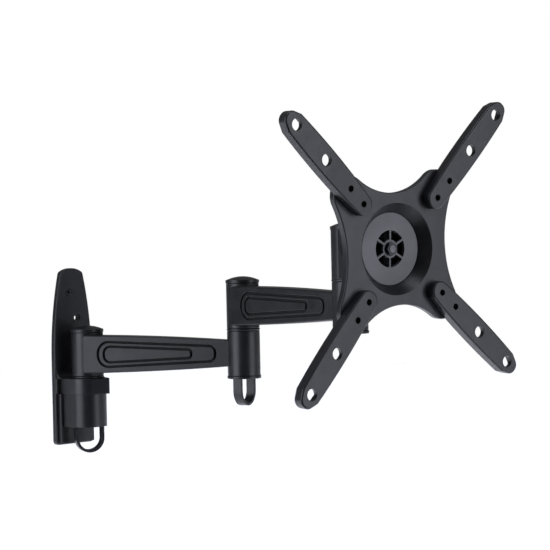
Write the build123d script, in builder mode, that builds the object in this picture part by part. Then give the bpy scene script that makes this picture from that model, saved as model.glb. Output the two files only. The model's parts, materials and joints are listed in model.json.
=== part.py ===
"""Full motion television wall mount: wall bracket, two folding arms, swivel and tilt head, VESA plate.

Frame: the back face of the wall plate lies in the XZ plane, +Y points out of the wall and +Z up.
The origin is on that back face, level with the middle of the first arm.
"""
from build123d import *
from math import acos, asin, atan2, cos, degrees, hypot, radians, sin, sqrt
import os

os.makedirs("parts", exist_ok=True)

# ---------------------------------------------------------------- driving dimensions (mm, degrees)
# Pose in which the mount is stored. Headings turn from +X towards +Y, seen from above.
arm_1_heading = 115.5
arm_2_heading = 80.0
head_heading = 80.0
head_tilt_down = 2.5
plate_roll = 4.3            # anticlockwise, seen from the screen side
wall_clip_heading = 156.0
elbow_clip_heading = 16.0

# Joints and stages
hinge_reach = 25.0          # wall face to the first vertical axis
arm_length = 152.0          # between the vertical axes of each arm
stage_pitch = 42.0          # height from one stage to the next
knuckle_radius = 14.5
knuckle_height = 40.0
pin_radius = 5.0
running_gap = 0.05          # radial clearance of pins in bushes
seat_gap = 0.05             # radial clearance of pieces that are fixed to each other
body_gap = 0.3              # clearance between faces on different moving bodies
bush_radius = 7.0
bush_length = 13.0
pocket_radius = 11.0
cap_pocket_depth = 7.0
nut_pocket_depth = 14.0
knuckle_chamfer = 0.5
ring_overhang = 0.3         # rings stand proud of the knuckles
cap_overhang = 0.45
plug_overhang = 0.5

# Nylon bushes, pivot pins, nuts and caps
bush_flange_radius = 9.5
bush_flange_thickness = 1.0
pin_head_radius = 8.0
pin_head_height = 3.2
pin_socket_width = 6.0
pin_socket_depth = 2.0
spring_washer_height = 2.2
spring_washer_outer = 8.6
spring_washer_inner = 5.3
pivot_nut_height = 6.0
pivot_nut_width = 16.0
cap_rim_height = 2.8
cap_height = 6.0
cap_dome_radius = 14.3
cap_spigot_length = 2.0

# Base plugs and turning cable clips
plug_flange = 2.4
plug_spigot = 3.0
clip_seat_radius = 13.8
clip_seat_depth = 1.5
clip_shank_radius = 4.0
clip_hole_radius = clip_shank_radius + 0.08
clip_barb_radius = 5.0
clip_barb_height = 1.6
clip_half_width = 13.2
clip_band = 2.5
clip_band_width = 8.2
clip_drop = 24.0

# Wall plate with its collar and barrel, and the cover below the collar
plate_top = 79.0
plate_bottom = -83.0
plate_half_width = 22.0
plate_top_half_width = 12.8
plate_thickness = 5.0
plate_edge_round = 1.1
hollow_depth = 2.2
screw_hole_x = 4.5
screw_hole_upper_z = 33.0
screw_hole_lower_z = -74.0
screw_hole_radius = 2.4
screw_recess_radius = 4.0
screw_recess_depth = 1.0
plate_screw_z = 57.0
plate_screw_radius = 1.5
plate_screw_head_radius = 3.4
collar_bottom = -36.0
collar_half_width = 21.6
collar_face_y = 6.5         # from the wall, flat foot at the sides of the collar
collar_radius = 17.0
collar_blend = 9.0          # concave round between the plate and the top of the collar
barrel_web_half_width = 6.0
stop_corner = (6.9, -22.3)  # corner of the stop lug in front of the hinge, seen from above
cover_radius = 16.5
cover_half_width = 19.4
cover_face_y = 9.3
cover_barrel_bottom = -66.0
cover_bottom = -81.5
cover_floor = 3.8
cover_skin = 1.6

# Arms
arm_start_half_height = 17.1
arm_middle_half_height = 15.3
arm_end_half_height = 10.7
arm_middle = 71.0           # where the middle height is given
arm_start_half_width = 14.4
arm_end_half_width = 8.0
arm_edge_round = 1.2
groove_width = 2.2
groove_depth = 2.4

# Head, along the screen normal from the head axis
tilt_reach = 26.0
tilt_rise = 4.0
barrel_radius = 11.0
tilt_bolt_radius = 4.0
head_half_width = 14.0
tilt_flange = 0.8           # bush flange between head and fork ear
ear_inner = head_half_width + tilt_flange + 0.3
ear_thickness = 3.0
tilt_washer = 1.6
tilt_washer_radius = 8.5
tilt_bush_wall = 2.0
tilt_bush_length = 8.0
tilt_bush_flange_radius = 9.0
bolt_head_height = 5.3
bolt_width = 13.0
bolt_nut_height = 6.5
fork_half_height = 18.0
fork_base_reach = 16.0
fork_base_thickness = 3.0
fork_base_radius = 27.0
friction_ring_thickness = 0.9
friction_ring_outer = 26.5
friction_ring_inner = 17.0
centre_bush_inner = 14.2
stud_radius = 3.0
stud_head_radius = 9.0
stud_head_height = 2.6
stud_overhang = 0.4
centre_washer_radius = 5.6
centre_washer_thickness = 0.6
centre_nut_height = 2.4
centre_nut_width = 9.0
screen_plane_reach = 40.0   # tilt axis to the plane that the VESA arms' faces start from

# VESA plate, heights counted from the screen plane
plate_face = -5.3
plate_depth = 5.6
plate_skin = 3.0
waist_x = 49.9
waist_y = 44.0
lobe_centre = 44.2
lobe_radius = 15.5
dish_rim_radius = 36.0
dish_floor_radius = 29.0
disc_face = -14.3
disc_thickness = 2.5
floor_face = -17.0
floor_thickness = 3.0
window_inner = 7.3
window_outer = 14.6
spoke_width = 1.6
screw_place = 61.9          # arm screws, along the diagonal
screw_offset = 4.5          # and to each side of it
arm_screw_radius = 2.0
vesa_foot_end = 78.0        # where the arm leaves the lobe of the plate
hub_hole_radius = 16.0
vesa_75 = 37.5
vesa_100 = 50.0
vesa_side = 72.75           # third hole, 50 mm along the arm from the inner one
vesa_200 = 100.0
small_hole_radius = 2.5
large_hole_radius = 4.6
vesa_arm_rise = 0.048       # forward slope of the arm faces

# Extension arms, along the diagonal of the plate
inner_end = 43.8
inner_side = 50.0
inner_half_width = 8.2
middle_side = 97.0
middle_half_width = 10.3
tip_side = 143.0
tip_half_width = 9.2
tip_end = 153.0
tip_flat_half = 4.6
tip_round = 6.5
pocket_start = 82.0
pocket_wall = 2.5
arm_skin = 3.8
arm_front_round = 1.5
back_slope = 0.0525

up = Vector(0, 0, 1)


def heading(angle):
    """Horizontal unit vector at an angle from +X."""
    return Vector(cos(radians(angle)), sin(radians(angle)), 0)


def side_plane(frame):
    """Upright plane through a frame's x axis, with y up."""
    return Plane(origin=frame.origin, x_dir=frame.x_dir, z_dir=-frame.y_dir)


def turned(frame, angle):
    """Frame turned anticlockwise in its own plane."""
    x_dir = frame.x_dir * cos(radians(angle)) + frame.y_dir * sin(radians(angle))
    return Plane(origin=frame.origin, x_dir=x_dir, z_dir=frame.z_dir)


# ---------------------------------------------------------------- frames
wall_frame = Plane(origin=(0, hinge_reach, 0), x_dir=heading(arm_1_heading), z_dir=up)
elbow_point = wall_frame.origin + wall_frame.x_dir * arm_length
arm_2_frame = Plane(
    origin=elbow_point + up * stage_pitch, x_dir=heading(arm_2_heading), z_dir=up
)
head_frame = Plane(
    origin=arm_2_frame.origin + arm_2_frame.x_dir * arm_length + up * stage_pitch,
    x_dir=heading(head_heading),
    z_dir=up,
)
screen_normal = heading(head_heading) * cos(radians(head_tilt_down)) - up * sin(
    radians(head_tilt_down)
)
tilt_point = head_frame.origin + head_frame.x_dir * tilt_reach + up * tilt_rise
tilt_frame = Plane(
    origin=tilt_point, x_dir=screen_normal, z_dir=screen_normal.cross(up.cross(screen_normal))
)
level_screen_frame = Plane(
    origin=tilt_point + screen_normal * screen_plane_reach,
    x_dir=up.cross(screen_normal),
    z_dir=screen_normal,
)
screen_frame = turned(level_screen_frame, plate_roll)


def save(piece, name):
    """Labels a finished piece and writes its STEP file."""
    piece.part.label = name
    export_step(piece.part, f"parts/{name}.step")


# ---------------------------------------------------------------- pieces shared by every pivot
def ring(plane, low, high, outer, inner, name, edge_round=0):
    """A ring, washer or sleeve around a pivot; some have a rounded outside."""
    with BuildPart() as piece:
        with BuildSketch(plane.offset(low)):
            Circle(outer)
        extrude(amount=high - low)
        if edge_round:
            fillet(piece.edges().filter_by(GeomType.CIRCLE), edge_round)
        with BuildSketch(plane.offset(low)):
            Circle(inner)
        extrude(amount=high - low, mode=Mode.SUBTRACT)
    save(piece, name)


def flanged_bush(plane, flange_low, name):
    """Nylon bush whose flange rests in the floor of the cap pocket."""
    with BuildPart() as piece:
        with BuildSketch(plane.offset(flange_low)):
            Circle(bush_flange_radius)
        extrude(amount=bush_flange_thickness)
        with BuildSketch(plane.offset(flange_low)):
            Circle(bush_radius - seat_gap)
        extrude(amount=-bush_length)
        with BuildSketch(plane.offset(flange_low - bush_length)):
            Circle(pin_radius + running_gap)
        extrude(amount=bush_length + bush_flange_thickness, mode=Mode.SUBTRACT)
    save(piece, name)


def headed_pin(plane, low, high, name):
    """Steel pivot pin with a round head at the top and a socket in the head."""
    with BuildPart() as piece:
        with BuildSketch(plane.offset(low)):
            Circle(pin_radius)
        extrude(amount=high - low)
        chamfer(piece.edges().sort_by(Axis.Z)[0], 0.8)
        with BuildSketch(plane.offset(high)):
            Circle(pin_head_radius)
        extrude(amount=pin_head_height)
        chamfer(piece.edges().sort_by(Axis.Z)[-1], 0.6)
        with BuildSketch(plane.offset(high + pin_head_height)):
            RegularPolygon(pin_socket_width / 2, 6, major_radius=False)
        extrude(amount=-pin_socket_depth, mode=Mode.SUBTRACT)
    save(piece, name)


def hex_nut(plane, low, high, across_flats, bore, name):
    """Hexagon lock nut with its corners turned off."""
    with BuildPart() as piece:
        with BuildSketch(plane.offset(low)):
            RegularPolygon(across_flats / 2, 6, major_radius=False)
        extrude(amount=high - low)
        with BuildSketch(plane.offset(low)):
            Circle(across_flats * 0.555)
        extrude(amount=high - low, mode=Mode.INTERSECT)
        with BuildSketch(plane.offset(low)):
            Circle(bore)
        extrude(amount=high - low, mode=Mode.SUBTRACT)
    save(piece, name)


def spring_washer(plane, low, name):
    """Split ring that keeps the nut tight."""
    split_width = 1.5
    with BuildPart() as piece:
        with BuildSketch(plane.offset(low)):
            Circle(spring_washer_outer)
            Circle(spring_washer_inner, mode=Mode.SUBTRACT)
            with Locations((spring_washer_outer, 0)):
                Rectangle(1.5 * spring_washer_outer, split_width, mode=Mode.SUBTRACT)
        extrude(amount=spring_washer_height)
    save(piece, name)


def domed_cap(plane, low, name):
    """Plastic cap with a low dome, a thin rim and a spigot that plugs the pocket."""
    rim_radius = knuckle_radius + cap_overhang
    crown = cap_height - cap_rim_height
    sphere_radius = (cap_dome_radius**2 + crown**2) / (2 * crown)
    half_angle = degrees(asin(cap_dome_radius / sphere_radius))
    top = low + cap_height
    with BuildPart() as piece:
        with BuildSketch(side_plane(plane)):
            with BuildLine():
                Polyline(
                    (0, low - cap_spigot_length),
                    (pocket_radius - seat_gap, low - cap_spigot_length),
                    (pocket_radius - seat_gap, low),
                    (rim_radius, low),
                    (rim_radius, low + cap_rim_height),
                    (cap_dome_radius, low + cap_rim_height),
                )
                CenterArc((0, top - sphere_radius), sphere_radius, 90 - half_angle, half_angle)
                Line((0, top), (0, low - cap_spigot_length))
            make_face()
        revolve(axis=Axis(plane.origin, plane.z_dir))
    save(piece, name)


def base_plug(plane, top, with_clip, name):
    """Flanged plug under a pivot; the one at the elbow also seats the turning cable clip."""
    with BuildPart() as piece:
        with BuildSketch(plane.offset(top)):
            Circle(knuckle_radius + plug_overhang)
        extrude(amount=-plug_flange)
        chamfer(piece.edges().group_by(Axis.Z)[0], 0.5)
        with BuildSketch(plane.offset(top)):
            Circle(pocket_radius - seat_gap)
        extrude(amount=plug_spigot)
        if with_clip:
            with BuildSketch(plane.offset(top - plug_flange)):
                Circle(clip_seat_radius)
            extrude(amount=clip_seat_depth, mode=Mode.SUBTRACT)
            with BuildSketch(plane.offset(top - plug_flange)):
                Circle(clip_hole_radius)
            extrude(amount=plug_flange + plug_spigot, mode=Mode.SUBTRACT)
    save(piece, name)


def loop_outline(half_width, bottom_face):
    """Corners and lowest point of a U that hangs from the bottom face."""
    bend_height = bottom_face - clip_drop + clip_half_width
    lowest = bend_height - half_width
    root = bottom_face + clip_seat_depth - body_gap
    with BuildSketch() as outline:
        with BuildLine():
            Polyline(
                (half_width, bend_height),
                (half_width, root),
                (-half_width, root),
                (-half_width, bend_height),
            )
            ThreePointArc((-half_width, bend_height), (0, lowest), (half_width, bend_height))
        make_face()
    return outline.sketch


def cable_clip(plane, bottom_face, floor_thickness_above, name):
    """Flat band bent into a U under a disc that turns in its seat; cables pass through the loop."""
    shank_top = bottom_face + floor_thickness_above + body_gap
    outer_loop_outline = loop_outline(clip_half_width, bottom_face)
    inner_loop_outline = loop_outline(clip_half_width - clip_band, bottom_face)
    with BuildPart() as piece:
        with BuildSketch(side_plane(plane)):
            add(outer_loop_outline)
            add(inner_loop_outline, mode=Mode.SUBTRACT)
        extrude(amount=clip_band_width / 2, both=True)
        with BuildSketch(plane.offset(bottom_face)):
            Circle(clip_seat_radius - body_gap)
        extrude(amount=clip_seat_depth - body_gap)
        with BuildSketch(plane.offset(bottom_face)):
            Circle(clip_shank_radius)
        extrude(amount=shank_top - bottom_face)
        with BuildSketch(plane.offset(shank_top)):
            Circle(clip_barb_radius)
        extrude(amount=clip_barb_height)
        chamfer(piece.edges().sort_by(Axis.Z)[-1], 0.8)
    save(piece, name)


# ---------------------------------------------------------------- wall bracket
# x runs to the right of a person who faces the wall, y up, z out of the wall
wall_face = Plane(origin=(0, 0, 0), x_dir=(-1, 0, 0), z_dir=(0, 1, 0))
# seen from above the hinge: x as above, y towards the wall
hinge_frame = Plane(origin=(0, hinge_reach, 0), x_dir=(-1, 0, 0), z_dir=(0, 0, 1))
half_knuckle = knuckle_height / 2
barrel_top = half_knuckle - stage_pitch
barrel_bottom = barrel_top - knuckle_height


def plate_outline():
    """Outline of the wall plate: narrow arched top, straight bottom with round corners."""
    side_bottom = -4.0
    shoulder = plate_top - 4.0
    waist = (plate_half_width - 3.1, 42.0)
    with BuildSketch() as outline:
        with BuildLine():
            Polyline(
                (plate_half_width, side_bottom),
                (plate_half_width, plate_bottom),
                (-plate_half_width, plate_bottom),
                (-plate_half_width, side_bottom),
            )
            ThreePointArc(
                (-plate_half_width, side_bottom), (-waist[0], waist[1]), (-plate_top_half_width, shoulder)
            )
            ThreePointArc(
                (-plate_top_half_width, shoulder), (0, plate_top), (plate_top_half_width, shoulder)
            )
            ThreePointArc((plate_top_half_width, shoulder), waist, (plate_half_width, side_bottom))
        make_face()
        fillet(outline.vertices().group_by(Axis.Y)[0], 3.5)
        fillet(outline.vertices().group_by(Axis.Y)[-1], 4.0)
    return outline.sketch


def wrapped(half_width, face_y, radius, base_y, corner_round):
    """Plan of a flat foot with a round-nosed barrel standing out of it."""
    foot = hinge_reach - base_y
    face = hinge_reach - face_y
    with BuildSketch() as plan:
        with Locations((0, (foot + face) / 2)):
            Rectangle(2 * half_width, foot - face)
        fillet(plan.vertices().group_by(Axis.Y)[0], corner_round)
        Circle(radius)
        with Locations((0, foot / 2)):
            Rectangle(2 * radius, foot)
    return plan.sketch


def stop_lug():
    """Plan of the lug on the collar, whose sides run off its round smoothly to one corner."""
    corner_angle = atan2(stop_corner[1], stop_corner[0])
    reach = acos(collar_radius / hypot(*stop_corner))
    touches = [
        (collar_radius * cos(angle), collar_radius * sin(angle))
        for angle in (corner_angle - reach, corner_angle + reach)
    ]
    with BuildSketch() as lug:
        Polygon((0, 0), touches[0], stop_corner, touches[1], align=None)
        fillet(lug.vertices().sort_by_distance(stop_corner)[0], 1.0)
    return lug.sketch


collar_plan = wrapped(collar_half_width, collar_face_y, collar_radius, plate_thickness, 1.0)
lug_plan = stop_lug()
cover_base_y = plate_thickness + seat_gap
cover_plan = wrapped(cover_half_width, cover_face_y, cover_radius, cover_base_y, 1.5)
cover_cavity_plan = wrapped(
    cover_half_width - cover_skin, cover_face_y - cover_skin, cover_radius - cover_skin, plate_thickness, 0.5
)

with BuildPart() as wall_plate:
    with BuildSketch(wall_face):
        add(plate_outline())
    extrude(amount=plate_thickness)
    fillet(wall_plate.faces().sort_by(Axis.Y)[-1].edges(), plate_edge_round)
    # hollow back, as on a die casting
    with BuildSketch(wall_face):
        with Locations((0, 16)):
            RectangleRounded(24, 20, 4)
        with Locations((0, -38)):
            RectangleRounded(26, 52, 4)
    extrude(amount=hollow_depth, mode=Mode.SUBTRACT)
    # collar with its stop lug, and the barrel below it
    with BuildSketch(hinge_frame.offset(barrel_top)):
        add(collar_plan)
        add(lug_plan)
    extrude(amount=collar_bottom - barrel_top)
    with BuildSketch(hinge_frame.offset(barrel_bottom)):
        Circle(knuckle_radius)
        with Locations((0, (hinge_reach - plate_thickness) / 2)):
            Rectangle(2 * barrel_web_half_width, hinge_reach - plate_thickness)
    extrude(amount=collar_bottom - barrel_bottom)
    # concave round where the plate runs out into the collar
    with BuildSketch(Plane.YZ):
        with Locations((plate_thickness + collar_blend / 2, barrel_top + collar_blend / 2)):
            Rectangle(collar_blend, collar_blend)
        with Locations((plate_thickness + collar_blend, barrel_top + collar_blend)):
            Circle(collar_blend, mode=Mode.SUBTRACT)
    extrude(amount=collar_half_width - plate_edge_round, both=True)
    with BuildSketch(hinge_frame.offset(barrel_top)):
        Circle(knuckle_radius + ring_overhang + body_gap)
    extrude(amount=collar_blend, mode=Mode.SUBTRACT)
    # bore of the pivot pin and pocket of its nut
    with BuildSketch(hinge_frame.offset(barrel_bottom)):
        Circle(pin_radius + seat_gap)
    extrude(amount=knuckle_height, mode=Mode.SUBTRACT)
    with BuildSketch(hinge_frame.offset(barrel_bottom)):
        Circle(pocket_radius)
    extrude(amount=nut_pocket_depth, mode=Mode.SUBTRACT)
    # wall screw holes above and below the hinge
    with BuildSketch(wall_face):
        with Locations((screw_hole_x, screw_hole_upper_z), (screw_hole_x, screw_hole_lower_z)):
            Circle(screw_hole_radius)
    extrude(amount=plate_thickness, mode=Mode.SUBTRACT)
    with BuildSketch(wall_face.offset(plate_thickness)):
        with Locations((screw_hole_x, screw_hole_upper_z)):
            Circle(screw_recess_radius)
    extrude(amount=-screw_recess_depth, mode=Mode.SUBTRACT)
    # seat of the small countersunk screw near the top
    seat = wall_face.offset(plate_thickness).location * Location((-screw_hole_x, plate_screw_z, 0))
    with Locations(seat):
        CounterSinkHole(
            plate_screw_radius + seat_gap, plate_screw_head_radius + 0.4, depth=plate_thickness
        )
save(wall_plate, "wall_plate")

with BuildPart() as plate_screw:
    with BuildSketch(wall_face.offset(0.5)):
        with Locations((-screw_hole_x, plate_screw_z)):
            Circle(plate_screw_radius)
    extrude(amount=plate_thickness - 0.5)
    with BuildSketch(wall_face.offset(plate_thickness)):
        with Locations((-screw_hole_x, plate_screw_z)):
            Circle(plate_screw_head_radius)
    extrude(amount=plate_screw_radius - plate_screw_head_radius, taper=45)
    with BuildSketch(wall_face.offset(plate_thickness)):
        with Locations((-screw_hole_x, plate_screw_z)):
            RegularPolygon(1.3, 6, major_radius=False)
    extrude(amount=-1.6, mode=Mode.SUBTRACT)
save(plate_screw, "plate_screw")

with BuildPart() as lower_cover:
    with BuildSketch(hinge_frame.offset(cover_barrel_bottom)):
        add(cover_plan)
    extrude(amount=collar_bottom - seat_gap - cover_barrel_bottom)
    box_depth = cover_face_y - plate_thickness - seat_gap
    with BuildSketch(hinge_frame.offset(cover_bottom)) as box_plan:
        with Locations((0, hinge_reach - cover_face_y + box_depth / 2)):
            Rectangle(2 * cover_half_width, box_depth)
        fillet(box_plan.vertices().group_by(Axis.Y)[0], 1.5)
    extrude(amount=cover_barrel_bottom - cover_bottom)
    # cavity for the barrel, and below it for the head of the lower wall screw
    with BuildSketch(hinge_frame.offset(cover_barrel_bottom + cover_floor)):
        add(cover_cavity_plan)
    extrude(amount=collar_bottom - cover_barrel_bottom, mode=Mode.SUBTRACT)
    cavity_top = cover_barrel_bottom + cover_floor
    with BuildSketch(wall_face.offset(plate_thickness)):
        with Locations((0, (cover_bottom + cover_skin + cavity_top) / 2)):
            Rectangle(2 * (cover_half_width - cover_skin), cavity_top - cover_bottom - cover_skin)
    extrude(amount=cover_face_y - cover_skin - plate_thickness, mode=Mode.SUBTRACT)
    # seat of the cable clip
    with BuildSketch(hinge_frame.offset(cover_barrel_bottom)):
        Circle(clip_seat_radius)
    extrude(amount=clip_seat_depth, mode=Mode.SUBTRACT)
    with BuildSketch(hinge_frame.offset(cover_barrel_bottom)):
        Circle(clip_hole_radius)
    extrude(amount=cover_floor, mode=Mode.SUBTRACT)
save(lower_cover, "lower_cover")

wall_clip_frame = Plane(origin=hinge_frame.origin, x_dir=heading(wall_clip_heading), z_dir=up)
cable_clip(wall_clip_frame, cover_barrel_bottom, cover_floor, "wall_cable_clip")


# ---------------------------------------------------------------- arms
def rounded_wedge(grow, start, end, start_half, end_half, start_round, end_round):
    """Face with a wide rounded start and a narrower rounded end, grown all round."""
    with BuildSketch() as wedge:
        with BuildLine():
            Polyline(
                (start - grow, start_half + grow),
                (end + grow, end_half + grow),
                (end + grow, -end_half - grow),
                (start - grow, -start_half - grow),
                close=True,
            )
        make_face()
        fillet(wedge.vertices().group_by(Axis.X)[0], start_round + grow)
        fillet(wedge.vertices().group_by(Axis.X)[-1], end_round + grow)
    return wedge.sketch


# outer and inner loop: start, end, half heights and corner radii along the arm's face
outer_loop = (16.8, 128.4, 11.7, 6.6, 10.5, 5.6)
inner_loop = (22.5, 106.0, 7.4, 3.7, 6.3, 2.7)
groove_edges = [
    (rounded_wedge(groove_width / 2, *loop), rounded_wedge(-groove_width / 2, *loop))
    for loop in (outer_loop, inner_loop)
]


def arm(frame, name):
    """Cast arm: capped knuckle at the start, tapering beam, nut pocket under the end knuckle."""
    side = side_plane(frame)
    with BuildPart() as piece:
        with BuildSketch(frame):
            Polygon(
                (0, -arm_start_half_width),
                (arm_length, -arm_end_half_width),
                (arm_length, arm_end_half_width),
                (0, arm_start_half_width),
                align=None,
            )
        extrude(amount=half_knuckle, both=True)
        with BuildSketch(side):
            with BuildLine():
                ThreePointArc(
                    (0, arm_start_half_height),
                    (arm_middle, arm_middle_half_height),
                    (arm_length, arm_end_half_height),
                )
                Line((arm_length, arm_end_half_height), (arm_length, -arm_end_half_height))
                ThreePointArc(
                    (arm_length, -arm_end_half_height),
                    (arm_middle, -arm_middle_half_height),
                    (0, -arm_start_half_height),
                )
                Line((0, -arm_start_half_height), (0, arm_start_half_height))
            make_face()
        extrude(amount=knuckle_radius + 1.0, both=True, mode=Mode.INTERSECT)
        fillet(piece.edges().filter_by(lambda edge: edge.length > arm_length * 0.9), arm_edge_round)
        # two grooves around the panel on each face
        for facing in (1, -1):
            taper = facing * (arm_end_half_width - arm_start_half_width)
            face = Plane(
                origin=frame.origin + frame.y_dir * facing * arm_start_half_width,
                x_dir=frame.x_dir * arm_length + frame.y_dir * taper,
                z_dir=frame.y_dir * facing * arm_length - frame.x_dir * facing * taper,
            )
            for outside_edge, inside_edge in groove_edges:
                with BuildSketch(face):
                    add(outside_edge)
                    add(inside_edge, mode=Mode.SUBTRACT)
                extrude(amount=-groove_depth, mode=Mode.SUBTRACT)
        # knuckles
        with BuildSketch(frame.offset(-half_knuckle)):
            Circle(knuckle_radius)
        extrude(amount=knuckle_height)
        end = frame.offset(-half_knuckle)
        with BuildSketch(end):
            with Locations((arm_length, 0)):
                Circle(knuckle_radius)
        extrude(amount=knuckle_height)
        rings = piece.edges().filter_by(GeomType.CIRCLE)
        rims = rings.filter_by(lambda edge: edge.length > 6 * knuckle_radius)
        chamfer(rims, knuckle_chamfer)
        # bores
        with BuildSketch(frame.offset(-half_knuckle)):
            Circle(bush_radius)
        extrude(amount=knuckle_height, mode=Mode.SUBTRACT)
        with BuildSketch(end):
            with Locations((arm_length, 0)):
                Circle(pin_radius + seat_gap)
        extrude(amount=knuckle_height, mode=Mode.SUBTRACT)
        with BuildSketch(end):
            with Locations((arm_length, 0)):
                Circle(pocket_radius)
        extrude(amount=nut_pocket_depth, mode=Mode.SUBTRACT)
        with BuildSketch(frame.offset(half_knuckle)):
            Circle(pocket_radius)
        extrude(amount=-cap_pocket_depth, mode=Mode.SUBTRACT)
    save(piece, name)


arm(wall_frame, "arm_1")
arm(arm_2_frame, "arm_2")


def stacked_pivot(frame, prefix):
    """Pin, bushes, ring, nut and cap of a pivot; the frame's height is the middle of the upper knuckle."""
    pocket_floor = half_knuckle - cap_pocket_depth
    lower_top = half_knuckle - stage_pitch
    washer_low = lower_top - knuckle_height + nut_pocket_depth - spring_washer_height
    nut_low = washer_low - pivot_nut_height
    bush_top = bush_length - half_knuckle
    bush_outer = bush_radius - seat_gap
    bush_bore = pin_radius + running_gap
    flanged_bush(frame, pocket_floor, prefix + "_upper_bush")
    ring(frame, -half_knuckle, bush_top, bush_outer, bush_bore, prefix + "_lower_bush")
    ring(frame, lower_top, -half_knuckle, knuckle_radius + ring_overhang, bush_bore, prefix + "_ring", 0.8)
    headed_pin(frame, nut_low + 0.3, pocket_floor + bush_flange_thickness, prefix + "_pin")
    spring_washer(frame, washer_low, prefix + "_spring_washer")
    hex_nut(frame, nut_low, washer_low, pivot_nut_width, pin_radius + seat_gap, prefix + "_nut")
    domed_cap(frame, half_knuckle, prefix + "_cap")


stacked_pivot(wall_frame, "wall")
stacked_pivot(arm_2_frame, "elbow")
stacked_pivot(head_frame, "head")
base_plug(arm_2_frame, barrel_bottom, True, "elbow_base_plug")
base_plug(head_frame, barrel_bottom, False, "head_base_plug")
elbow_clip_frame = Plane(origin=arm_2_frame.origin, x_dir=heading(elbow_clip_heading), z_dir=up)
cable_clip(elbow_clip_frame, barrel_bottom - plug_flange, plug_flange + plug_spigot, "elbow_cable_clip")


# ---------------------------------------------------------------- swivel head
with BuildPart() as swivel_head:
    with BuildSketch(side_plane(head_frame)):
        Polygon(
            (0, -half_knuckle),
            (9, -half_knuckle),
            (tilt_reach - 2, tilt_rise - barrel_radius + 0.5),
            (tilt_reach - 2, tilt_rise + barrel_radius - 0.5),
            (9, half_knuckle),
            (0, half_knuckle),
            align=None,
        )
        with Locations((tilt_reach, tilt_rise)):
            Circle(barrel_radius)
    extrude(amount=head_half_width, both=True)
    with BuildSketch(head_frame.offset(-half_knuckle)):
        Circle(knuckle_radius)
    extrude(amount=knuckle_height)
    with BuildSketch(head_frame.offset(-half_knuckle)):
        Circle(bush_radius)
    extrude(amount=knuckle_height, mode=Mode.SUBTRACT)
    with BuildSketch(head_frame.offset(half_knuckle)):
        Circle(pocket_radius)
    extrude(amount=-cap_pocket_depth, mode=Mode.SUBTRACT)
    with BuildSketch(side_plane(head_frame)):
        with Locations((tilt_reach, tilt_rise)):
            Circle(tilt_bolt_radius + tilt_bush_wall)
    extrude(amount=head_half_width, both=True, mode=Mode.SUBTRACT)
save(swivel_head, "swivel_head")

# ---------------------------------------------------------------- tilt fork and its bolt
tilt_left = Plane(origin=tilt_point, x_dir=tilt_frame.x_dir, z_dir=tilt_frame.y_dir)
tilt_right = side_plane(tilt_frame)
sides = (tilt_left, tilt_right)
fork_base = Plane(origin=tilt_point, x_dir=tilt_frame.y_dir, z_dir=tilt_frame.x_dir)
ear_outer = ear_inner + ear_thickness
washer_outer = ear_outer + tilt_washer

with BuildPart() as tilt_bushes:
    for side in sides:
        with BuildSketch(side.offset(head_half_width)):
            Circle(tilt_bush_flange_radius)
            Circle(tilt_bolt_radius + running_gap, mode=Mode.SUBTRACT)
        extrude(amount=tilt_flange)
        with BuildSketch(side.offset(head_half_width)):
            Circle(tilt_bolt_radius + tilt_bush_wall - seat_gap)
            Circle(tilt_bolt_radius + running_gap, mode=Mode.SUBTRACT)
        extrude(amount=-tilt_bush_length)
save(tilt_bushes, "tilt_bushes")

with BuildPart() as tilt_fork:
    for side in sides:
        with BuildSketch(side.offset(ear_inner)):
            Circle(barrel_radius)
            Polygon(
                (0, -barrel_radius),
                (fork_base_reach, -fork_half_height),
                (fork_base_reach + 1, -fork_half_height),
                (fork_base_reach + 1, fork_half_height),
                (fork_base_reach, fork_half_height),
                (0, barrel_radius),
                align=None,
            )
            Circle(tilt_bolt_radius + running_gap, mode=Mode.SUBTRACT)
        extrude(amount=ear_thickness)
    with BuildSketch(fork_base.offset(fork_base_reach)):
        Circle(fork_base_radius)
        Circle(stud_radius + seat_gap, mode=Mode.SUBTRACT)
    extrude(amount=fork_base_thickness)
save(tilt_fork, "tilt_fork")

with BuildPart() as tilt_washers:
    for side in sides:
        with BuildSketch(side.offset(ear_outer)):
            Circle(tilt_washer_radius)
            Circle(tilt_bolt_radius + seat_gap, mode=Mode.SUBTRACT)
        extrude(amount=tilt_washer)
save(tilt_washers, "tilt_washers")

with BuildPart() as tilt_bolt:
    with BuildSketch(tilt_right.offset(washer_outer)):
        RegularPolygon(bolt_width / 2, 6, major_radius=False)
    extrude(amount=bolt_head_height)
    with BuildSketch(tilt_right.offset(washer_outer)):
        Circle(0.555 * bolt_width)
    extrude(amount=bolt_head_height, mode=Mode.INTERSECT)
    with BuildSketch(tilt_right.offset(washer_outer)):
        Circle(tilt_bolt_radius)
    extrude(amount=-2 * washer_outer - bolt_nut_height - 1.5)
save(tilt_bolt, "tilt_bolt")
nut_outer = washer_outer + bolt_nut_height
hex_nut(tilt_left, washer_outer, nut_outer, bolt_width, tilt_bolt_radius + seat_gap, "tilt_nut")

# ---------------------------------------------------------------- centre of the screen plate
base_front = fork_base_reach + fork_base_thickness
disc_front = screen_plane_reach + disc_face
disc_back = disc_front - disc_thickness
floor_front = screen_plane_reach + floor_face
nut_back = disc_front + centre_washer_thickness
nut_front = nut_back + centre_nut_height

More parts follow.
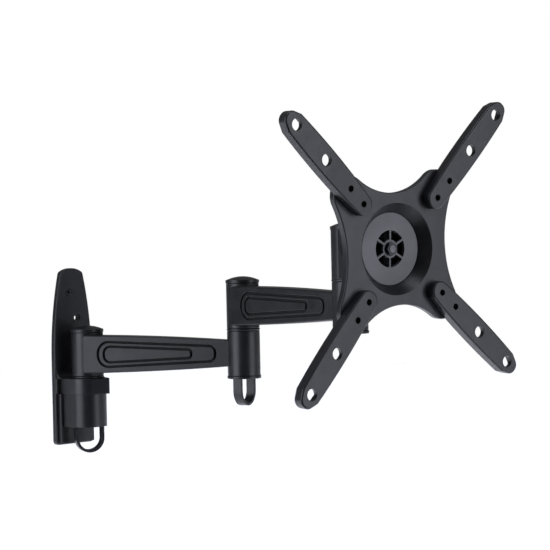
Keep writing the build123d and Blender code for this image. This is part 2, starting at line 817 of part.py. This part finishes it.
with BuildPart() as centre_stud:
    with BuildSketch(fork_base.offset(fork_base_reach)):
        Circle(stud_head_radius)
    extrude(amount=-stud_head_height)
    with BuildSketch(fork_base.offset(fork_base_reach)):
        Circle(stud_radius)
    extrude(amount=nut_front + stud_overhang - fork_base_reach)
save(centre_stud, "centre_stud")
ring_front = base_front + friction_ring_thickness
ring(fork_base, base_front, ring_front, friction_ring_outer, friction_ring_inner, "friction_ring")
bush_front = floor_front + 0.1
hub_bush_outer = hub_hole_radius - running_gap
ring(fork_base, base_front, bush_front, hub_bush_outer, centre_bush_inner, "centre_bush")

with BuildPart() as clamp_disc:
    with BuildSketch(fork_base.offset(disc_back)):
        Circle(dish_floor_radius - body_gap)
        Circle(stud_radius + seat_gap, mode=Mode.SUBTRACT)
    extrude(amount=disc_thickness)
    chamfer(clamp_disc.edges().filter_by(GeomType.CIRCLE).sort_by(SortBy.RADIUS)[-2:], 0.4)
    with BuildSketch(fork_base.offset(disc_back)):
        Circle(window_outer)
        Circle(window_inner, mode=Mode.SUBTRACT)
        with PolarLocations(0, 3, start_angle=30, angular_range=180):
            Rectangle(2.2 * window_outer, spoke_width, mode=Mode.SUBTRACT)
    extrude(amount=disc_thickness, mode=Mode.SUBTRACT)
save(clamp_disc, "clamp_disc")
ring(fork_base, disc_front, nut_back, centre_washer_radius, stud_radius + seat_gap, "centre_washer")
hex_nut(fork_base, nut_back, nut_front, centre_nut_width, stud_radius + seat_gap, "centre_nut")


# ---------------------------------------------------------------- VESA plate
def concave_radius(waist):
    """Radius of the arc that passes the waist and meets both neighbouring lobes smoothly."""
    inset = waist - lobe_centre
    return (inset**2 + lobe_centre**2 - lobe_radius**2) / (2 * (lobe_radius - inset))


def tangent_point(centre, lobe):
    """Where the arc about centre touches the lobe's circle."""
    way = Vector(*centre) - Vector(*lobe)
    touch = Vector(*lobe) + way.normalized() * lobe_radius
    return (touch.X, touch.Y)


side_radius = concave_radius(waist_x)
top_radius = concave_radius(waist_y)
right_centre = (waist_x + side_radius, 0)
top_centre = (0, waist_y + top_radius)
touch_right = tangent_point(right_centre, (lobe_centre, lobe_centre))
touch_top = tangent_point(top_centre, (lobe_centre, lobe_centre))

with BuildSketch() as plate_profile:
    Polygon(
        touch_right,
        touch_top,
        (-touch_top[0], touch_top[1]),
        (-touch_right[0], touch_right[1]),
        (-touch_right[0], -touch_right[1]),
        (-touch_top[0], -touch_top[1]),
        (touch_top[0], -touch_top[1]),
        (touch_right[0], -touch_right[1]),
        align=None,
    )
    with GridLocations(2 * lobe_centre, 2 * lobe_centre, 2, 2):
        Circle(lobe_radius)
    with Locations(right_centre, (-right_centre[0], 0)):
        Circle(side_radius, mode=Mode.SUBTRACT)
    with Locations(top_centre, (0, -top_centre[1])):
        Circle(top_radius, mode=Mode.SUBTRACT)

with BuildSketch() as plate_hollow:
    add(plate_profile.sketch)
    offset(amount=-plate_skin, kind=Kind.ARC)

screen_side = side_plane(screen_frame)
screen_axis = Axis(screen_frame.origin, screen_frame.z_dir)
diagonal = sqrt(2)
plate_back = plate_face - plate_depth
floor_back_face = floor_face - floor_thickness

with BuildPart() as vesa_plate:
    with BuildSketch(screen_frame.offset(plate_face)):
        add(plate_profile.sketch)
    extrude(amount=-plate_depth)
    fillet(vesa_plate.faces().sort_by(screen_axis)[-1].edges(), 1.0)
    with BuildSketch(screen_frame.offset(plate_back)):
        add(plate_hollow.sketch)
    extrude(amount=plate_depth - plate_skin, mode=Mode.SUBTRACT)
    # bosses round the small holes and ribs along the lobes
    with BuildSketch(screen_frame.offset(plate_back)):
        with PolarLocations(vesa_75 * diagonal, 4, start_angle=45):
            Circle(5.0)
        with PolarLocations(vesa_100 * diagonal, 4, start_angle=45):
            Circle(4.5)
        with PolarLocations(54.0, 4, start_angle=45):
            Rectangle(40.0, 1.6)
    extrude(amount=plate_depth - 1.0)
    # dish in the middle
    with BuildSketch(screen_side):
        Polygon(
            (0, plate_face - 0.5),
            (dish_rim_radius + 3.0, plate_face - 0.5),
            (dish_floor_radius + 3.2, floor_back_face),
            (0, floor_back_face),
            align=None,
        )
    revolve(axis=screen_axis)
    with BuildSketch(screen_side):
        Polygon(
            (0, plate_face),
            (dish_rim_radius, plate_face),
            (dish_floor_radius, disc_face),
            (dish_floor_radius, floor_face),
            (0, floor_face),
            align=None,
        )
    revolve(axis=screen_axis, mode=Mode.SUBTRACT)
    with BuildSketch(screen_frame.offset(floor_back_face)):
        Circle(hub_hole_radius)
    extrude(amount=floor_thickness, mode=Mode.SUBTRACT)
    # holes for small screens, and for the screws that hold the arms
    with BuildSketch(screen_frame.offset(plate_back)):
        with GridLocations(2 * vesa_75, 2 * vesa_75, 2, 2):
            Circle(small_hole_radius)
        with GridLocations(2 * vesa_100, 2 * vesa_100, 2, 2):
            Circle(small_hole_radius)
    extrude(amount=plate_depth, mode=Mode.SUBTRACT)
    for quarter in range(4):
        arm_plane = turned(screen_frame, 45 + 90 * quarter)
        with BuildSketch(arm_plane.offset(plate_back)):
            with Locations((screw_place, screw_offset), (screw_place, -screw_offset)):
                Circle(arm_screw_radius + 0.2)
        extrude(amount=plate_depth, mode=Mode.SUBTRACT)
save(vesa_plate, "vesa_plate")

def vesa_arm_outline(inset):
    """Outline of an extension arm along its diagonal: round inner end, bowed sides, blunt tip."""
    with BuildSketch() as outline:
        with BuildLine():
            ThreePointArc(
                (inner_side, -inner_half_width + inset),
                (inner_end + inset, 0),
                (inner_side, inner_half_width - inset),
            )
            ThreePointArc(
                (inner_side, inner_half_width - inset),
                (middle_side, middle_half_width - inset),
                (tip_side, tip_half_width - inset),
            )
            Polyline(
                (tip_side, tip_half_width - inset),
                (tip_end - inset, tip_flat_half - inset * 0.5),
                (tip_end - inset, -tip_flat_half + inset * 0.5),
                (tip_side, -tip_half_width + inset),
            )
            ThreePointArc(
                (tip_side, -tip_half_width + inset),
                (middle_side, -middle_half_width + inset),
                (inner_side, -inner_half_width + inset),
            )
        make_face()
        fillet(outline.vertices().group_by(Axis.X)[-1], tip_round - inset)
    return outline.sketch


arm_outer_outline = vesa_arm_outline(0)
arm_pocket_outline = vesa_arm_outline(pocket_wall)


def vesa_arm(quarter, name):
    """Extension arm: solid foot on the plate's lobe, open channel beyond it, face sloping forward."""
    plane = turned(screen_frame, 45 + 90 * quarter)
    face = Plane(
        origin=plane.origin,
        x_dir=plane.x_dir + plane.z_dir * vesa_arm_rise,
        z_dir=plane.z_dir - plane.x_dir * vesa_arm_rise,
    )
    back = Plane(
        origin=plane.origin + plane.x_dir * vesa_foot_end + plane.z_dir * plate_face,
        x_dir=plane.x_dir + plane.z_dir * back_slope,
        z_dir=plane.z_dir - plane.x_dir * back_slope,
    )
    with BuildPart() as piece:
        with BuildSketch(plane.offset(plate_face)):
            add(arm_outer_outline)
        extrude(amount=16)
        split(bisect_by=face, keep=Keep.BOTTOM)
        split(bisect_by=back, keep=Keep.TOP)
        fillet(piece.faces().sort_by(Axis(plane.origin, plane.z_dir))[-1].edges(), arm_front_round)
        with BuildSketch(face.offset(-arm_skin)):
            add(arm_pocket_outline)
            with Locations((pocket_start, 0)):
                Rectangle(100, 40, align=(Align.MIN, Align.CENTER), mode=Mode.INTERSECT)
        extrude(amount=-15, mode=Mode.SUBTRACT)
        with BuildSketch(plane.offset(plate_face - 1)):
            with Locations((vesa_75 * diagonal, 0), (vesa_100 * diagonal, 0)):
                Circle(small_hole_radius)
            with Locations((vesa_side * diagonal, 0), (vesa_200 * diagonal, 0)):
                Circle(large_hole_radius)
        extrude(amount=20, mode=Mode.SUBTRACT)
        with BuildSketch(plane.offset(plate_face)):
            with Locations((screw_place, screw_offset), (screw_place, -screw_offset)):
                Circle(arm_screw_radius + seat_gap)
        extrude(amount=6, mode=Mode.SUBTRACT)
    save(piece, name)


arm_names = ("upper_right", "upper_left", "lower_left", "lower_right")
for quarter, place in enumerate(arm_names):
    vesa_arm(quarter, "vesa_arm_" + place)

with BuildPart() as arm_screws:
    for quarter in range(4):
        arm_plane = turned(screen_frame, 45 + 90 * quarter)
        with BuildSketch(arm_plane.offset(plate_face - plate_skin)):
            with Locations((screw_place, screw_offset), (screw_place, -screw_offset)):
                Circle(3.5)
        extrude(amount=-2.2)
        with BuildSketch(arm_plane.offset(plate_face - plate_skin)):
            with Locations((screw_place, screw_offset), (screw_place, -screw_offset)):
                Circle(arm_screw_radius)
        extrude(amount=plate_skin + 5.5)
save(arm_screws, "arm_screws")
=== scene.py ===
"""Full motion television wall mount: finishes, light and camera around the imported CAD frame.

Lengths are in metres. Headings are degrees from +X towards +Y, seen from above. Colours are linear red, green, blue.
"""
import json
from math import cos, radians, sin

import bpy
from mathutils import Matrix, Vector


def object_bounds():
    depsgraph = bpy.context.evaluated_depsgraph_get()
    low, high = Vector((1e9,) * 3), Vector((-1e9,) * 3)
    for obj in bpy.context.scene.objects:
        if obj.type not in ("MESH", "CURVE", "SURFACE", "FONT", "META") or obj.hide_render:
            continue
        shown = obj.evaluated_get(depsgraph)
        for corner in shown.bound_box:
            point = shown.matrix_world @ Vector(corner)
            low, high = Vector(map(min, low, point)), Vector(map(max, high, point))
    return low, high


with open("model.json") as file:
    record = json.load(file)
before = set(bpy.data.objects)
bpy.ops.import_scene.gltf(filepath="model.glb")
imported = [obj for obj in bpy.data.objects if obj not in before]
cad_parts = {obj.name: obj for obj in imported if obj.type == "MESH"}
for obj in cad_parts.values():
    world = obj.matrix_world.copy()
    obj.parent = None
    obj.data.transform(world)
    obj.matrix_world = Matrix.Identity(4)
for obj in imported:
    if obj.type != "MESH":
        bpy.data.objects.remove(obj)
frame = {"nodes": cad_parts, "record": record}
cad_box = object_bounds()
scene = bpy.context.scene
nodes = frame["nodes"]


# ---------------------------------------------------------------- camera
SENSOR = 36                     # mm
LENS = 104.93                   # mm
FAR_CLIP = 50
VIEW_HEADING = 224.0            # the camera looks level along this heading
CAMERA_ROLL = 1.28
CAMERA_AT = Vector((0.9358, 1.1696, 0.0684))
UP = Vector((0, 0, 1))
look = Vector((cos(radians(VIEW_HEADING)), sin(radians(VIEW_HEADING)), 0))


def add_camera():
    """Level camera in front of the mount, a little to its left, with the picture turned by a small roll."""
    data = bpy.data.cameras.new("camera")
    data.lens = LENS
    data.sensor_width = SENSOR
    data.clip_end = FAR_CLIP
    camera = bpy.data.objects.new("camera", data)
    scene.collection.objects.link(camera)
    upright = Matrix((look.cross(UP), UP, -look)).transposed()
    roll = Matrix.Rotation(radians(CAMERA_ROLL), 3, look)
    camera.matrix_world = Matrix.Translation(CAMERA_AT) @ (roll @ upright).to_4x4()
    scene.camera = camera


# ---------------------------------------------------------------- floor and light
FLOOR_DROP = 0.32               # floor below the wall plate
FLOOR_FRONT = 0.3               # floor in front of the mount, towards the camera
FLOOR_BACK = 7.0
FLOOR_SIDE = 3.0
FLOOR_GREY = 0.9
FLOOR_ROUGHNESS = 0.9
FLOOR_SPECULAR = 0.1
FLOOR_SUN = 3.6                 # straight down on the floor alone, so that it is as white as the sky behind it
SUN_HEIGHT = 3
SUN_ANGLE = 20
SKY_AROUND = 0.036              # what the mount sees to the sides and in front
SKY_BEHIND = 0.18               # pale backdrop behind the mount
SKY_FADE = (0.1, 0.6)           # cosines from straight behind over which one turns into the other
SPAN_SOCKETS = ("From Min", "From Max", "To Min", "To Max")
BOXES = (                       # soft boxes: degrees left of the camera, height, distance, width, height, power
    (60, 0.2, 1.5, 1.15, 1.9, 18.5),
    (-62, 0.2, 1.5, 0.9, 1.9, 12.5),
    (0, 1.7, 0.4, 1.2, 0.8, 9.0),
)
LAMP_COLOUR = (0.93, 0.95, 1.05)
middle = (Vector(cad_box[0]) + Vector(cad_box[1])) / 2


def add_floor():
    """Pale floor that starts just in front of the mount and runs far behind it."""
    height = cad_box[0][2] - FLOOR_DROP
    side = look.cross(UP) * FLOOR_SIDE
    front = middle - look * FLOOR_FRONT
    back = middle + look * FLOOR_BACK
    corners = [(at.x, at.y, height) for at in (front - side, front + side, back + side, back - side)]
    mesh = bpy.data.meshes.new("floor")
    mesh.from_pydata(corners, [], [(0, 1, 2, 3)])
    floor = bpy.data.objects.new("floor", mesh)
    scene.collection.objects.link(floor)
    material = bpy.data.materials.new("floor")
    material.use_nodes = True
    shader = material.node_tree.nodes["Principled BSDF"]
    shader.inputs["Base Color"].default_value = (FLOOR_GREY, FLOOR_GREY, FLOOR_GREY, 1)
    shader.inputs["Roughness"].default_value = FLOOR_ROUGHNESS
    shader.inputs["Specular IOR Level"].default_value = FLOOR_SPECULAR
    mesh.materials.append(material)
    return floor


def add_lamp(name, kind, place):
    """Lamp that points at the middle of the mount."""
    data = bpy.data.lights.new(name, kind)
    data.color = LAMP_COLOUR
    lamp = bpy.data.objects.new(name, data)
    lamp.location = place
    lamp.rotation_euler = (middle - place).to_track_quat("-Z", "Y").to_euler()
    scene.collection.objects.link(lamp)
    return lamp


def add_light(floor):
    """A sun for the floor alone, and soft boxes round the mount."""
    sun = add_lamp("sun", "SUN", middle + UP * SUN_HEIGHT)
    sun.data.energy = FLOOR_SUN
    sun.data.angle = radians(SUN_ANGLE)
    lit_by_sun = bpy.data.collections.new("lit_by_sun")
    lit_by_sun.objects.link(floor)
    sun.light_linking.receiver_collection = lit_by_sun
    for number, (left, height, distance, width, tall, power) in enumerate(BOXES):
        way = Matrix.Rotation(radians(-left), 3, "Z") @ -look
        box = add_lamp(f"soft_box_{number}", "AREA", middle + way * distance + UP * height).data
        box.shape = "RECTANGLE"
        box.size = width
        box.size_y = tall
        box.energy = power


def add_sky():
    """White for the camera and behind the mount, dim to the sides and in front."""
    world = bpy.data.worlds.new("studio")
    world.use_nodes = True
    tree = world.node_tree
    background = tree.nodes["Background"]
    background.inputs["Color"].default_value = (1, 1, 1, 1)
    direction = tree.nodes.new("ShaderNodeTexCoord").outputs["Generated"]
    behind = tree.nodes.new("ShaderNodeVectorMath")
    behind.operation = "DOT_PRODUCT"
    behind.inputs[1].default_value = look
    tree.links.new(direction, behind.inputs[0])
    fade = tree.nodes.new("ShaderNodeMapRange")
    for socket, number in zip(SPAN_SOCKETS, (*SKY_FADE, SKY_AROUND, SKY_BEHIND)):
        fade.inputs[socket].default_value = number
    tree.links.new(behind.outputs["Value"], fade.inputs[0])
    seen = tree.nodes.new("ShaderNodeMath")
    seen.operation = "MAXIMUM"
    tree.links.new(fade.outputs[0], seen.inputs[0])
    tree.links.new(tree.nodes.new("ShaderNodeLightPath").outputs["Is Camera Ray"], seen.inputs[1])
    tree.links.new(seen.outputs[0], background.inputs["Strength"])
    scene.world = world


# ---------------------------------------------------------------- materials
# Numbers of the mix node's colour sockets
MIX_FACTOR, MIX_FIRST, MIX_SECOND, MIX_RESULT = 0, 6, 7, 2
# Grains per metre
PEEL = 1400                     # orange peel of powder coat
COAT_GRIT = 5200
COAT_CLOUDS = 38
COAT_GLOSS = 90
WEAR = 260
MOULD_GRAIN = 3600
MOULD_CLOUDS = 55
TURNING_MARKS = 900
STAINS = 170
# Heights of relief and widths of rounded edges
COAT_RELIEF = 0.00006
MOULD_RELIEF = 0.00004
STEEL_RELIEF = 0.00003
COAT_EDGE = 0.0007
MOULD_EDGE = 0.0005
STEEL_EDGE = 0.0003
# Reaches of the painted shade: hollows tighter than the reach are painted darker as shade and made rougher
GROOVE_SHADE_REACH = 0.005            # hollows tighter than this are dull and dark
# wider reach of painted shade for the VESA plate, so that the walls of its dish are painted darker
DISH_SHADE_REACH = 0.035


def shade(colour, factor):
    """Colour made lighter or darker."""
    return tuple(factor * value for value in colour)


class Shader:
    """A Principled material with helpers for its nodes."""

    def __init__(self, name, base, roughness, metallic=0.0, specular=0.5):
        self.material = bpy.data.materials.new(name)
        self.material.use_nodes = True
        self.tree = self.material.node_tree
        self.bsdf = self.tree.nodes["Principled BSDF"]
        self.bsdf.inputs["Base Color"].default_value = (*base, 1)
        self.bsdf.inputs["Roughness"].default_value = roughness
        self.bsdf.inputs["Metallic"].default_value = metallic
        self.bsdf.inputs["Specular IOR Level"].default_value = specular
        self.place = self.node("TexCoord").outputs["Object"]

    def node(self, kind, **inputs):
        made = self.tree.nodes.new("ShaderNode" + kind)
        for name, value in inputs.items():
            self.feed(made.inputs[name.replace("_", " ")], value)
        return made

    def feed(self, socket, value):
        if isinstance(value, bpy.types.NodeSocket):
            self.tree.links.new(value, socket)
        else:
            socket.default_value = value

    def noise(self, scale, detail=2.0, roughness=0.5, stretch=(1, 1, 1)):
        """Grey noise with so many grains per metre."""
        mapping = self.node("Mapping", Vector=self.place, Scale=stretch)
        made = self.node("TexNoise", Vector=mapping.outputs[0], Scale=scale, Detail=detail, Roughness=roughness)
        return made.outputs["Fac"]

    def span(self, value, low, high, start=0.0, end=1.0):
        """Value carried from start..end to low..high, clamped."""
        made = self.node("MapRange", Value=value)
        for socket, number in zip(SPAN_SOCKETS, (start, end, low, high)):
            made.inputs[socket].default_value = number
        return made.outputs[0]

    def mix(self, factor, first, second):
        """First colour where the factor is 0, second where it is 1; either may be a socket."""
        made = self.tree.nodes.new("ShaderNodeMix")
        made.data_type = "RGBA"
        self.feed(made.inputs[MIX_FACTOR], factor)
        for socket, colour in ((MIX_FIRST, first), (MIX_SECOND, second)):
            self.feed(made.inputs[socket], colour if isinstance(colour, bpy.types.NodeSocket) else (*colour, 1))
        return made.outputs[MIX_RESULT]

    def math(self, operation, first, second):
        made = self.tree.nodes.new("ShaderNodeMath")
        made.operation = operation
        self.feed(made.inputs[0], first)
        self.feed(made.inputs[1], second)
        return made.outputs[0]

    def edges(self, radius):
        """A mask that is 1 on edges sharper than the radius and 0 on flats, and the rounded normal."""
        bevel = self.node("Bevel", Radius=radius)
        bevel.samples = 6
        flat = self.node("NewGeometry").outputs["Normal"]
        dot = self.tree.nodes.new("ShaderNodeVectorMath")
        dot.operation = "DOT_PRODUCT"
        self.feed(dot.inputs[0], bevel.outputs[0])
        self.feed(dot.inputs[1], flat)
        return self.span(dot.outputs["Value"], 1.0, 0.0, 0.80, 0.995), bevel.outputs[0]

    def painted_crevice_shade(self, reach):
        """Mask for painted shade: 0 on open faces, up to 1 in grooves and corners tighter than the reach."""
        around = self.node("AmbientOcclusion", Distance=reach)
        around.samples = 8
        around.only_local = True
        return self.span(around.outputs["AO"], 1.0, 0.0, 0.3, 0.9)

    def bump(self, height, distance, normal, strength):
        """Relief of this height on top of the normal."""
        return self.node("Bump", Strength=strength, Distance=distance, Height=height, Normal=normal).outputs[0]

    def set(self, name, value):
        self.feed(self.bsdf.inputs[name], value)


def powder_coat(name, dark, light, rough_low, rough_high, reach=GROOVE_SHADE_REACH, specular=0.5):
    """Baked black powder coat: fine orange peel, faint cloudiness, painted shade and more roughness in hollows, edges
    rubbed a little lighter.
    """
    s = Shader(name, dark, rough_high, specular=specular)
    edge, rounded = s.edges(COAT_EDGE)
    peel = s.noise(PEEL, 2.0, 0.6)
    grit = s.noise(COAT_GRIT, 1.0, 0.5)
    cloudy = s.span(s.noise(COAT_CLOUDS, 3.0, 0.55), 0.0, 1.0, 0.35, 0.7)
    colour = s.mix(cloudy, dark, light)
    fleck = s.span(grit, 0.0, 0.35, 0.62, 0.78)
    colour = s.mix(fleck, colour, shade(light, 3.0))
    worn = s.math("MULTIPLY", edge, s.span(s.noise(WEAR, 2.0, 0.5), 0.1, 0.55, 0.35, 0.7))
    colour = s.mix(worn, colour, shade(light, 2.6))
    hollow_shade = s.painted_crevice_shade(reach)
    # painted shade: hollows darkened towards a fifth of the dark coat colour
    s.set("Base Color", s.mix(hollow_shade, colour, shade(dark, 0.2)))
    rough = s.span(s.noise(COAT_GLOSS, 3.0, 0.6), rough_low, rough_high, 0.3, 0.7)
    s.set("Roughness", s.math("ADD", rough, s.math("MULTIPLY", hollow_shade, 0.5)))
    height = s.math("ADD", peel, s.math("MULTIPLY", grit, 0.35))
    s.set("Normal", s.bump(height, COAT_RELIEF, rounded, 0.55))
    return s.material


def moulded_plastic(name, base, rough):
    """Injection moulded black plastic with a fine spark-eroded grain."""
    s = Shader(name, base, rough, specular=0.45)
    edge, rounded = s.edges(MOULD_EDGE)
    grain = s.noise(MOULD_GRAIN, 2.0, 0.7)
    cloudy = s.span(s.noise(MOULD_CLOUDS, 2.0, 0.5), 0.0, 1.0, 0.35, 0.65)
    colour = s.mix(cloudy, base, shade(base, 1.45))
    s.set("Base Color", s.mix(s.math("MULTIPLY", edge, 0.35), colour, shade(base, 3.0)))
    s.set("Roughness", s.span(grain, rough - 0.08, rough + 0.08, 0.3, 0.7))
    s.set("Normal", s.bump(grain, MOULD_RELIEF, rounded, 0.5))
    return s.material


def plated_steel(name, base, rough):
    """Zinc plated or blackened steel with fine turning marks and small stains."""
    s = Shader(name, base, rough, metallic=1.0)
    edge, rounded = s.edges(STEEL_EDGE)
    lines = s.noise(TURNING_MARKS, 3.0, 0.6, stretch=(1, 1, 6))
    stain = s.span(s.noise(STAINS, 3.0, 0.6), 0.0, 1.0, 0.4, 0.72)
    colour = s.mix(stain, base, shade(base, 0.72))
    s.set("Base Color", s.mix(s.math("MULTIPLY", edge, 0.5), colour, shade(base, 1.25)))
    s.set("Roughness", s.span(lines, rough - 0.07, rough + 0.1, 0.3, 0.7))
    s.set("Normal", s.bump(lines, STEEL_RELIEF, rounded, 0.35))
    return s.material


casting = ((0.0075, 0.0078, 0.010), (0.0115, 0.0118, 0.0145), 0.30, 0.40)
# by node where a node has its own finish or its own painted shade, by material slot for all others
coats = {
    "black_powder_coat": powder_coat("powder_coat", *casting),
    # painted shade over a wider reach darkens the walls of the plate's dish
    "vesa_plate": powder_coat("dish_shaded_powder_coat", *casting, reach=DISH_SHADE_REACH),
    # painted shade: the fork is near black and almost without sheen, so its base deep behind the clamp disc's windows
    # reads as shadow
    "tilt_fork": powder_coat("fork_painted_shade", (0.002, 0.002, 0.0024), (0.003, 0.003, 0.0035), 0.7, 0.8, specular=0.1),
    "centre_stud": plated_steel("stud_steel", (0.1, 0.1, 0.104), 0.32),
    "black_plastic": moulded_plastic("plastic", (0.0075, 0.0076, 0.0092), 0.36),
    "nylon_bush": moulded_plastic("nylon", (0.03, 0.03, 0.033), 0.38),
    "black_oxide_steel": plated_steel("black_steel", (0.045, 0.045, 0.05), 0.36),
    "bright_steel": plated_steel("bright_steel", (0.62, 0.62, 0.63), 0.3),
    "grey_disc": powder_coat("grey_coat", (0.135, 0.135, 0.144), (0.165, 0.165, 0.175), 0.5, 0.6),
}


def dress_nodes():
    """Give every CAD node its finish."""
    slots = {entry["node"]: entry["material_slot"] for entry in frame["record"]["subparts"]}
    for name, thing in nodes.items():
        for slot in thing.material_slots:
            slot.link = "OBJECT"
            slot.material = coats.get(name, coats[slots[name]])


add_camera()
add_light(add_floor())
add_sky()
dress_nodes()
scene.view_settings.view_transform = "Standard"
